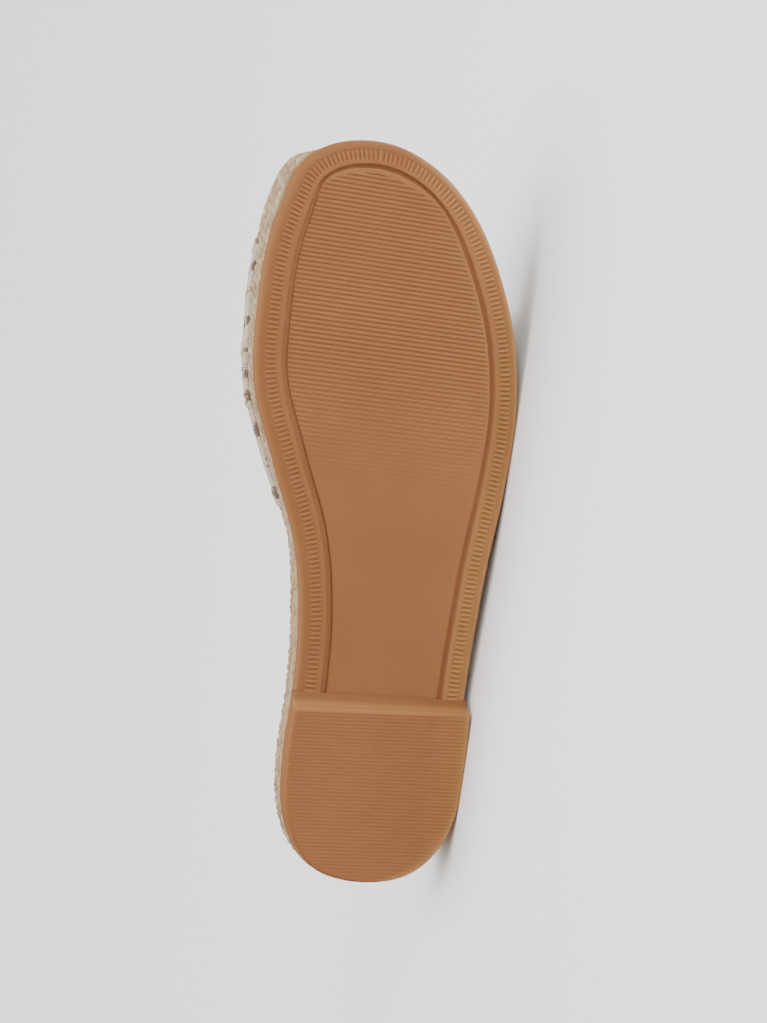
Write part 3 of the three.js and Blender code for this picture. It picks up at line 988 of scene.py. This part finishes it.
def ribbed_pad(material):
    """The sunk pad under forefoot and waist, ribbed where the foot bends."""
    lines = edge_lines(PAD_FROM)
    tip = min(line[0].max() for line in lines) - 0.02
    ribs = rib_rows(RIBS_FADE_FROM, tip, FORE_PITCH)
    waist = np.linspace(BREAST_AT - 3, RIBS_FADE_FROM, 70)[:-1]
    along = np.concatenate([waist, ribs])[:, None]
    shares = across_shares(columns=44, crowd=0.7)
    y = between(lines, along, shares)
    x = along + y * math.tan(FORE_SKEW) * smoothstep(along, FORE_SKEW_FROM, RIBS_FADE_FROM)
    inside = distance_inside(x, y, PAD_FROM)
    toe_border = PAD_TOE_BORDER * smoothstep(along, PAD_TOE_FROM, tip - 1)
    border = PAD_BORDER + toe_border + PAD_LATERAL_BORDER * smoothstep(shares, 0.5, 0.9)
    fade = np.clip((along - RIBS_FADE_FROM) / (RIBS_FULL_FROM - RIBS_FADE_FROM), 0, 1) ** 0.8
    valley = rib_wave(along, ribs, sharpness=1.5) * fade * smoothstep(inside, border - 0.2, border + 0.35)
    edge = PAD_EDGE * (1 - smoothstep(inside, 0.0, 0.5))
    z = ground_at(x) + PAD_DEPTH + FORE_RIB_DEPTH * valley + edge
    back = ground_at(x) + GROOVE_DEPTH + PAD_BURIED
    # Painted shade in the rib valleys and along the pad's edge
    depth = SHADE["pad_valley"] * valley + SHADE["pad_edge"] * edge
    # Painted light on the forefoot ribs and to the lateral side, most at the pad's edge, and a little
    # painted shade on the waist
    lateral = lerp(PAINTED_LIGHT_AND_SHADE["lateral_pad"], PAINTED_LIGHT_AND_SHADE["pad_edge"], np.exp(-inside / 3)) * smoothstep(y, -10, 25)
    tone = lerp(PAINTED_LIGHT_AND_SHADE["waist_pad"], PAINTED_LIGHT_AND_SHADE["fore_pad"], fade) + lateral
    slab(x, y, z, back, depth, tone).piece("outsole_pad", material, "outsole", 60)


def breast_curve():
    """Run and rise of the heel's front face, a hollow curve from the tread up to the waist."""
    t = np.linspace(0, 1, 12)[1:]
    bend = 2 * (1 - t) * t
    return (0.15 * bend + t ** 2) * BREAST_FACE_RUN, (0.7 * bend + t ** 2) * HEEL_LIFT


def rounded(inside):
    """How far the heel's tread rises towards its edge."""
    soft = np.clip(1 - inside / HEEL_ROUND, 0, 1)
    return HEEL_ROUND * (1 - np.sqrt(np.clip(1 - soft ** 2, 0, 1))) * 0.8


def heel_painted_light_and_shade(along, y, inside, hollow):
    """Painted light to the lateral side, round the edge and on the lip over the front face; painted shade
    to the medial side.
    """
    tint = lerp(PAINTED_LIGHT_AND_SHADE["medial_heel"], PAINTED_LIGHT_AND_SHADE["lateral_heel"], smoothstep(y, -5, 32))
    rim = PAINTED_LIGHT_AND_SHADE["heel_rim"] * sideness(y, -0.5) * np.exp(-inside / 1.3)
    lip = smoothstep(along, BREAST_AT - 2.2, BREAST_AT)
    lip = lip * (1 - smoothstep(along, BREAST_AT + 0.6, BREAST_AT + 3.8))
    return np.maximum((tint + rim) * (1 - hollow), PAINTED_LIGHT_AND_SHADE["heel_lip"] * lip)


def heel_block(material):
    """The heel block, ribbed out to its rounded edge, with its hollow, slanting front face."""
    lines = edge_lines(-HEEL_PROUD)
    heel_tip = max(line[0].min() for line in lines) + 0.02
    ribs = rib_rows(heel_tip, BREAST_AT, HEEL_PITCH)
    run, rise = breast_curve()
    along = np.concatenate([ribs, BREAST_AT + run])[:, None]
    lift = np.concatenate([np.zeros(len(ribs)), rise])[:, None]
    y = between(lines, along, across_shares(columns=46, crowd=0.8))
    skew = lerp(HEEL_SKEW, BREAST_SKEW, smoothstep(along, HEEL_SKEW_TO, BREAST_AT))
    skew = lerp(skew, BREAST_TOP_SKEW, lift / HEEL_LIFT)
    x = along + y * np.tan(skew) * smoothstep(along, heel_tip, heel_tip + 8)
    inside = distance_inside(x, y, -HEEL_PROUD)
    ribbed = 1 - smoothstep(along, BREAST_AT - 1.6, BREAST_AT - 0.5)
    valley = rib_wave(along, ribs, sharpness=1.3) * ribbed * smoothstep(inside, 0.3, 1.9)
    corner = BREAST_CORNER * (1 - smoothstep(np.abs(along - BREAST_AT), 0, 1.4))
    top = HEEL_LIFT + RUBBER_THICK - HEEL_SHOULDER
    z = np.minimum(HEEL_RIB_DEPTH * valley + rounded(inside) + lift + corner, top - 0.3)
    # Painted shade in the rib valleys and in the hollow of the front face
    hollow = smoothstep(lift, 2.0, 4.2)
    depth = SHADE["heel_valley"] * valley + SHADE["breast"] * hollow
    shell = slab(x, y, z, np.full(x.shape, top), depth, heel_painted_light_and_shade(along, y, inside, hollow))
    shell.piece("heel_block", material, "outsole", 60)


# Jute midsole


def plait(share, run, pitch):
    """One level of the braid, run millimetres round: height, strand, row and arm of each point."""
    place = share * BRAID_ROWS
    row = min(int(place), BRAID_ROWS - 1)
    v = 2 * (place - row) - 1
    upper_arm = v > 0
    shift = STRAND_LEAN * abs(v) + BRAID_SHIFT * row + (0.5 if upper_arm else 0.0)
    wander = 0.12 * np.sin(run * 0.37 + row * 2.1) + 0.08 * np.sin(run * 0.91 + row)
    phase = run / pitch + shift + wander
    strand = np.floor(phase)
    bump = np.sqrt(np.clip(1 - (2 * (phase - strand) - 1) ** 2, 0, 1))
    within = abs(abs(v) * 2 - 1)
    body = math.sqrt(max(0.0, 1 - (within * 0.97) ** 2)) * 0.55 + 0.45
    return (0.2 + 0.8 * bump) * body, strand, row, upper_arm


def braided_midsole(material):
    """The jute wall: rows of plaited strands, each a herringbone of leaning bumps."""
    turns = even_turns(step=0.38)
    here = outline_at(turns)
    run = run_along(here)
    total = run[-1] + np.linalg.norm(here[0] - here[-1])
    strands = int(round(total / STRAND_PITCH))
    levels = BRAID_ROWS * BRAID_LEVELS
    low = rubber_top_at(here[:, 0]) + 0.04
    high = platform_at(here[:, 0])
    tuck = waist_tuck(here[:, 0], here[:, 1])
    under_straps = SKIRT_TUCK * behind_straps(turns, margin=-1.6)
    strap_ends = 1 - (skirt_at(here[:, 0]) - CLEARANCE) / (high - low)
    toe = toe_bulge(turns)
    shades = np.random.default_rng(7).random(strands * BRAID_ROWS * 2 + 2)
    rings, painted_shades, uvs, tones = [], [], [], []
    for k in range(levels + 1):
        share = 1 - k / levels
        height, strand, row, upper_arm = plait(share, run, total / strands)
        if k == levels:
            height = np.full(len(turns), 0.55)
        elif k == 0:
            height = np.zeros(len(turns))
        inset = JUTE_INSET - 0.2 + BRAID_RELIEF * (1 - height) + share * tuck
        inset = inset + under_straps * smoothstep(share, strap_ends - 0.1, strap_ends + 0.01)
        inset = inset - toe * math.sin(math.pi * min(1.0, 0.15 + share * 0.6))
        rings.append(np.column_stack([inset_line(turns, inset), lerp(low, high, share)]))
        # Painted shade between the strands, darker where a strand stands out less
        painted_shades.append(np.clip(1 - height, 0, 1) ** 1.6)
        rise = share * (high - low)
        lean = 0.7 if upper_arm else -0.7
        uvs.append(np.column_stack([run * 0.7 + rise * lean, rise * 0.7 - run * lean]) + 9.0 * row)
        tones.append(shades[(np.mod(strand, strands) + strands * (2 * row + upper_arm)).astype(int)])
    shell = stacked(rings, painted_shades, np.concatenate(uvs), np.concatenate(tones))
    shell.piece("jute_midsole", material, "midsole", 80)


# Upper


def section_at(x, key):
    share = (x / LENGTH - SECTIONS_FROM) / (SECTIONS_TO - SECTIONS_FROM)
    values = SECTIONS[key]
    return through_values(values, np.clip(share, 0, 1) * (len(values) - 1), False)


def skirt_at(x):
    """How far the straps' ends reach down over the jute."""
    return lerp(SKIRT, SKIRT_FRONT, smoothstep(x, *SKIRT_SPAN))


def nearest_end(across):
    return np.minimum(across, 1 - across)


def arch_points(x, across):
    """Inner surface of the upper: an arch from the medial to the lateral edge at every place x."""
    medial = outline_at(turn_at(x, -1))[..., 1] + STRAP_INSET + waist_tuck(x, -1)
    lateral = outline_at(turn_at(x, 1))[..., 1] - STRAP_INSET
    crown = (medial + lateral) / 2 - section_at(x, "crown") * BALL_WIDTH
    bend = np.pi * np.clip(across, 0, 1)
    rise = np.sin(bend)
    reach = np.abs(np.cos(bend))
    on_lateral = across >= 0.5
    swell = LATERAL_SWELL * np.sin(np.pi * np.clip(rise / 0.85, 0, 1)) ** 2
    y = lerp(crown, np.where(on_lateral, lateral, medial), reach) + np.where(on_lateral, swell, 0)
    lean = np.where(on_lateral, ARCH_LEAN["lateral"], ARCH_LEAN["medial"])
    z = platform_at(x) + CLEARANCE + INSTEP_HEIGHT * section_at(x, "height") * rise ** lean
    end = nearest_end(np.clip(across, 0, 1))
    z = z - skirt_at(x) * np.clip(1 - end / SKIRT_SHARE, 0, 1) ** 1.3
    outward = SKIRT_OUT * (1 - smoothstep(end, 0.03, 0.09))
    y = y + np.where(on_lateral, outward, -outward)
    return np.stack([x, y, z], -1)


def arch_normals(x, across):
    step = 1e-3
    inner = np.clip(across, step, 1 - step)
    along = arch_points(x + 1, inner) - arch_points(x - 1, inner)
    over = arch_points(x, inner + step) - arch_points(x, inner - step)
    normal = -np.cross(over, along)
    foot = (across <= 0) | (across >= 1)
    normal[..., 2] = np.where(foot, 0, normal[..., 2])
    return normal / np.linalg.norm(normal, axis=-1, keepdims=True)


def strap_edges(name, across):
    """x of a strap's rear and front edge, drawn together over the foot."""
    ease = smoothstep(across, 0.05, 0.95)
    pinch = STRAP_PINCH * np.sin(np.pi * across) ** 2
    form = STRAPS[name]
    rear, front = (lerp(form["medial"][end], form["lateral"][end], ease) * LENGTH for end in (0, 1))
    return rear + pinch, front - pinch


def cover(x, across):
    """One where the upper strap lies on the other one, and zero beside it."""
    rear, front = strap_edges("under", across)
    inside = np.minimum(x - rear, front - x)
    return smoothstep(nearest_end(across), 0.02, 0.1) * smoothstep(inside, -OVERLAP_RAMP, -1)


def crease_relief(name, across, share, width):
    """Height of the listed creases: a soft trough with a low ridge beside it."""
    relief = np.zeros(np.broadcast(across, share).shape)
    spot = np.stack(np.broadcast_arrays(across * STRAP_LENGTH, share * width), -1)
    for row in CREASES[name]:
        start, end = (np.array(row[key]) * (STRAP_LENGTH, width) for key in ("start", "end"))
        line = end - start
        reach = np.linalg.norm(line)
        along = np.clip((spot - start) @ line / reach ** 2, 0, 1)
        off = np.linalg.norm(spot - start - along[..., None] * line, axis=-1)
        side = np.sign((spot[..., 0] - start[0]) * line[1] - (spot[..., 1] - start[1]) * line[0])
        signed = off * side / row["width"]
        shape = 0.6 * bell(signed, 1.7, 1) - bell(signed, 0, 1)
        relief += row["depth"] * np.sin(np.pi * along) ** 0.7 * shape
    return relief


def strap_relief(name, across, share, from_edge, width):
    """Gathers towards the crossing, the creases, and a slight pucker along the hems' seams."""
    gathered = np.sin(np.pi * share) ** 0.8 * bell(across, 0.5, 0.2)
    start = FOLD_STARTS[name] + 2.2 * across
    folds = FOLD_HEIGHT * gathered * np.sin(share * 2 * np.pi * FOLD_COUNT + start)
    relief = folds + crease_relief(name, across, share, width.mean())
    if name == "under":
        relief = relief * (1 - 0.85 * bell(across, 0.5, 0.17))
    pucker = PUCKER * np.sin(across * STRAP_LENGTH * 1.9) * bell(from_edge, HEM_WIDTH, 1.6)
    return (relief + pucker) * smoothstep(nearest_end(across), 0.0, 0.06)


def strap_rise(name, x, across):
    """How far a strap lies off the arch: over the other strap, drawn in at the waist, eased in front."""
    rise = np.zeros_like(x)
    if name == "over":
        rise = cover(x, across) * CLOTH_RISE * lerp(0.5, 1.0, smoothstep(across, 0.12, 0.4))
    medial = smoothstep(across, 0.0, 0.08) * (1 - smoothstep(across, 0.28, 0.5))
    pull = WAIST_PULL * medial * (1 - smoothstep(x, *WAIST_PULL_SPAN))
    return rise - pull + FORE_EASE * medial * smoothstep(x, *FORE_EASE_SPAN)


def strap_form(name, across, share):
    """Outer and inner skin of a strap, its normals, and each point's distances across the strap."""
    rear, front = strap_edges(name, across)
    x = lerp(rear, front, share)
    across = across * np.ones_like(x)
    width = front - rear
    from_edge = nearest_end(share) * width
    from_end = nearest_end(across) * STRAP_LENGTH
    hem = smoothstep(-from_edge, -HEM_WIDTH - 0.25, -HEM_WIDTH + 0.25)
    round_edge = 1 - np.clip(1 - np.minimum(from_edge, from_end) / 0.9, 0, 1) ** 2 * 0.75
    wall = (CLOTH_WALL + CLOTH_HEM * hem) * round_edge
    relief = strap_relief(name, across, share, from_edge, width)
    rise = strap_rise(name, x, across)
    normal = arch_normals(x, across)
    base = arch_points(x, across)
    return {
        "outer": base + normal * (rise + wall + relief)[..., None],
        "inner": base + normal * (rise + 0.3 * relief)[..., None],
        "normal": normal,
        "from_edge": from_edge,
        "sideways": share * width,
    }


def strap(name, material):
    """One strap: two skins with folded hems, pleats towards the crossing and a closed edge."""
    across = across_shares(columns=191, crowd=0.35)[:, None]
    form = strap_form(name, across, across_shares(columns=77, crowd=0.45)[None, :])
    rows, columns = form["sideways"].shape
    total = rows * columns
    length = run_along(form["outer"][:, (columns - 1) // 2])[:, None] * np.ones((rows, columns))
    uv = np.stack([length, form["sideways"]], -1) + (0.0 if name == "over" else 137.0)
    faces = band_faces(rows, columns, False)
    faces += [tuple(k + total for k in face)[::-1] for face in faces]
    rim = [r * columns + i for r, i in rim_of_grid(rows, columns)]
    faces += [(a, b, b + total, a + total) for a, b in zip(rim, rim[1:] + rim[:1])]
    # Painted shade along the hem's groove, and a little over the whole inner skin
    groove = 0.45 * bell(form["from_edge"], HEM_WIDTH, 0.4)
    depth = np.concatenate([groove.ravel(), np.full(total, 0.1)])
    low_end = 1 - smoothstep(nearest_end(across) * STRAP_LENGTH, *LOW_END)
    tone = np.tile(np.broadcast_to(low_end, (rows, columns)).ravel(), 2)
    shell = Shell()
    points = np.stack([form["outer"], form["inner"]])
    shell.add(points, faces, np.tile(uv.reshape(-1, 2), (2, 1)), depth, tone)
    shell.piece(f"strap_{name}", material, "upper", 60)


# Stitches


def stitch_points(centre, normal, thick, shares):
    """Rings of six points round a stitch's line, thinner and sunk in towards both ends."""
    girth = np.array([0.15, 0.75, 1.0, 1.0, 0.75, 0.15])[:, None, None]
    angles = np.linspace(0, 2 * np.pi, 7)[:-1][None, :, None]
    along = centre[-1] - centre[0]
    along /= np.linalg.norm(along)
    side = np.cross(along, normal)
    sink = thick * (0.25 - 0.8 * np.abs(shares) ** 3)
    centre = centre + normal * sink[:, None]
    around = np.cos(angles) * side[:, None, :] + np.sin(angles) * normal[:, None, :]
    return centre[:, None, :] + (thick / 2) * girth * around


def values_at(spots, run, rows):
    """Rows of values, read off at spots along their run."""
    return np.column_stack([np.interp(spots, run, column) for column in rows.T])


def stitches(name, lines, material, node, thick=STITCH_THICK, length=STITCH, gap=STITCH_GAP):
    """Rows of short rounded stitches along lines of points, each line with its outward normals."""
    shell = Shell()
    shares = np.array([-1.0, -0.85, -0.4, 0.4, 0.85, 1.0])
    faces = band_faces(6, 6, True) + [tuple(range(6)), tuple(range(35, 29, -1))]
    for points, normals in lines:
        run = run_along(points)
        count = int(run[-1] / (length + gap))
        for k in range(count):
            spots = (k + 0.5) * run[-1] / count + shares * length / 2
            centre = values_at(spots, run, points)
            normal = values_at(spots, run, normals)
            normal /= np.linalg.norm(normal, axis=1, keepdims=True)
            shell.add(stitch_points(centre, normal, thick, shares), faces)
    shell.piece(name, material, node, 80)


def hem_stitches(name, material):
    """A row of stitches along both hems of a strap."""
    across = np.linspace(0.03, 0.97, 500)[:, None]
    width = LENGTH * (STRAPS[name]["medial"][1] - STRAPS[name]["medial"][0])
    lines = []
    for share in (HEM_STITCH_INSET / width, 1 - HEM_STITCH_INSET / width):
        form = strap_form(name, across, np.array([[share]]))
        lines.append((form["outer"][:, 0], form["normal"][:, 0]))
    stitches(f"hem_stitches_{name}", lines, material, "upper")


def seat_stitches(material):
    """The stitches that hold the straps' lower ends to the jute."""
    share = np.linspace(0.02, 0.98, 120)[None, :]
    lines = []
    for name in STRAPS:
        for end in (0.012, 0.988):
            form = strap_form(name, np.array([[end]]), share)
            lines.append((form["outer"][0], form["normal"][0]))
    stitches("seat_stitches", lines, material, "upper")


# Insole


def behind_straps(turns, margin):
    """One where a strap goes down the side, with the span widened by a margin at both ends."""
    here = outline_at(turns)
    x = here[:, 0]
    behind = np.zeros(len(turns))
    for side, on_side in (("medial", here[:, 1] < 0), ("lateral", here[:, 1] >= 0)):
        start = min(form[side][0] for form in STRAPS.values()) * LENGTH - margin
        end = max(form[side][1] for form in STRAPS.values()) * LENGTH + margin
        inside = smoothstep(x, start - 0.5, start + 0.5) * (1 - smoothstep(x, end - 0.5, end + 0.5))
        behind = np.where(on_side, inside, behind)
    return behind


def footbed_edge(turns):
    """How far the footbed's side stands in from the outline: more where a strap goes down beside it."""
    here = outline_at(turns)
    behind = STRAP_INSET + 2 * CLEARANCE + 0.3
    edge = lerp(JUTE_INSET + FOOTBED_INSET, behind, behind_straps(turns, FOOTBED_MARGIN))
    return edge + waist_tuck(here[:, 0], here[:, 1])


def footbed(material):
    """The insole: a padded board with a turned edge, notched where the straps go down."""
    turns = even_turns(step=0.9)
    base = footbed_edge(turns)
    rings, painted_shades = [], []
    for row in FOOTBED_ROWS:
        line = inset_line(turns, base + row["inset"])
        rings.append(np.column_stack([line, footbed_at(line[:, 0], row["up"])]))
        painted_shades.append(np.full(len(turns), row.get("depth", 0.0)))
    stacked(rings, painted_shades, np.concatenate(rings)[:, :2]).piece("footbed", material, "insole", 70)


def footbed_stitches(material):
    """The seam that holds the footbed's turned edge."""
    turns = even_turns(step=0.9)
    line = inset_line(turns, footbed_edge(turns) + SEAM_INSET)
    seam = np.column_stack([line, footbed_at(line[:, 0], SEAM_UP)])
    seam = np.concatenate([seam, seam[:1]])
    up = np.tile([0.0, 0.0, 1.0], (len(seam), 1))
    stitches("footbed_stitches", [(seam, up)], material, "insole")


def edge_whipping(material):
    """Slanting stitches that bind the footbed to the jute all round, but not behind the straps."""
    turns = even_turns(step=0.3)
    base = footbed_edge(turns)
    notch = behind_straps(turns, FOOTBED_MARGIN)
    here = outline_at(turns)
    run = run_along(here)
    inward = inward_at(turns)
    tuck = waist_tuck(here[:, 0], here[:, 1])
    shift = int(round(WHIP_SLANT / (run[1] - run[0])))
    steps = np.linspace(0, 1, 5)[:, None]
    lines = []
    for place in np.arange(0, run[-1], WHIP_PITCH):
        i = int(np.searchsorted(run, place)) % len(turns)
        j = (i + shift) % len(turns)
        if max(notch[i], notch[j]) > 0:
            continue
        low = np.append(here[i] + inward[i] * (JUTE_INSET + tuck[i]), platform_at(here[i, 0]) - WHIP_UNDER)
        top = platform_at(here[j, 0]) + CLEARANCE + WHIP_OVER
        high = np.append(here[j] + inward[j] * (base[j] - 0.1), top)
        outward = np.append(-inward[i], 0.0)
        lines.append((lerp(low, high, steps), np.tile(outward, (5, 1))))
    length = float(np.linalg.norm(lines[0][0][-1] - lines[0][0][0])) * 0.96
    stitches("edge_whipping", lines, material, "midsole", WHIP_THICK, length, 0.0)


rubber = gum_rubber()
outsole_frame(rubber)
ribbed_pad(rubber)
heel_block(rubber)

braided_midsole(jute())
edge_whipping(thread("dark_thread", DARK_THREAD))

cloth = strap_cloth()
pale_thread = thread("pale_thread", PALE_THREAD)
for strap_name in STRAPS:
    strap(strap_name, cloth)
    hem_stitches(strap_name, pale_thread)
seat_stitches(pale_thread)

footbed(footbed_cloth())
footbed_stitches(pale_thread)


# Floor, light and camera


def studio_floor():
    mesh = bpy.data.meshes.new("floor")
    reach = 12.0
    corners = [(-reach, -reach, 0), (reach, -reach, 0), (reach, reach, 0), (-reach, reach, 0)]
    mesh.from_pydata(corners, [], [(0, 1, 2, 3)])
    obj = new_object("floor", mesh)
    material, _, _ = new_material("floor", {
        "Base Color": (0.95, 0.95, 0.95, 1.0),
        "Roughness": 0.6,
        "Specular IOR Level": 0.3,
    })
    mesh.materials.append(material)


def key_light():
    light = bpy.data.lights.new("key", "AREA")
    light.shape = "DISK"
    light.size = KEY_SIZE
    light.energy = KEY_POWER
    obj = new_object("key", light)
    obj.location = KEY_AT
    obj.rotation_euler = (KEY_AIM - KEY_AT).to_track_quat("-Z", "Y").to_euler()


def camera():
    data = bpy.data.cameras.new("camera")
    data.sensor_width = SENSOR
    data.lens = CAMERA_LENS
    data.clip_start = 0.01
    obj = new_object("camera", data)
    place = PLACE @ CAMERA_AT
    forward = (PLACE @ CAMERA_LOOKS_AT - place).normalized()
    up = (PLACE.to_3x3() @ CAMERA_UP).normalized()
    right = forward.cross(up).normalized()
    up = right.cross(forward)
    obj.matrix_world = Matrix.Translation(place) @ Matrix((right, up, -forward)).transposed().to_4x4()
    bpy.context.scene.camera = obj


def studio_world():
    """Soft light from all round, much stronger from overhead."""
    world = bpy.data.worlds.new("world")
    bpy.context.scene.world = world
    world.use_nodes = True
    background = world.node_tree.nodes["Background"]
    g = Graph(world.node_tree)
    way = g.node("ShaderNodeSeparateXYZ", {0: g.node("ShaderNodeTexCoord").outputs["Generated"]})
    above = g.math("POWER", g.math("MAXIMUM", way.outputs["Z"], 0.0), 6.0)
    background.inputs["Color"].default_value = opaque(WHITE)
    g.link(g.plus(g.times(above, WORLD_ABOVE), WORLD_ALL_ROUND), background.inputs["Strength"])


studio_floor()
studio_world()
key_light()
camera()
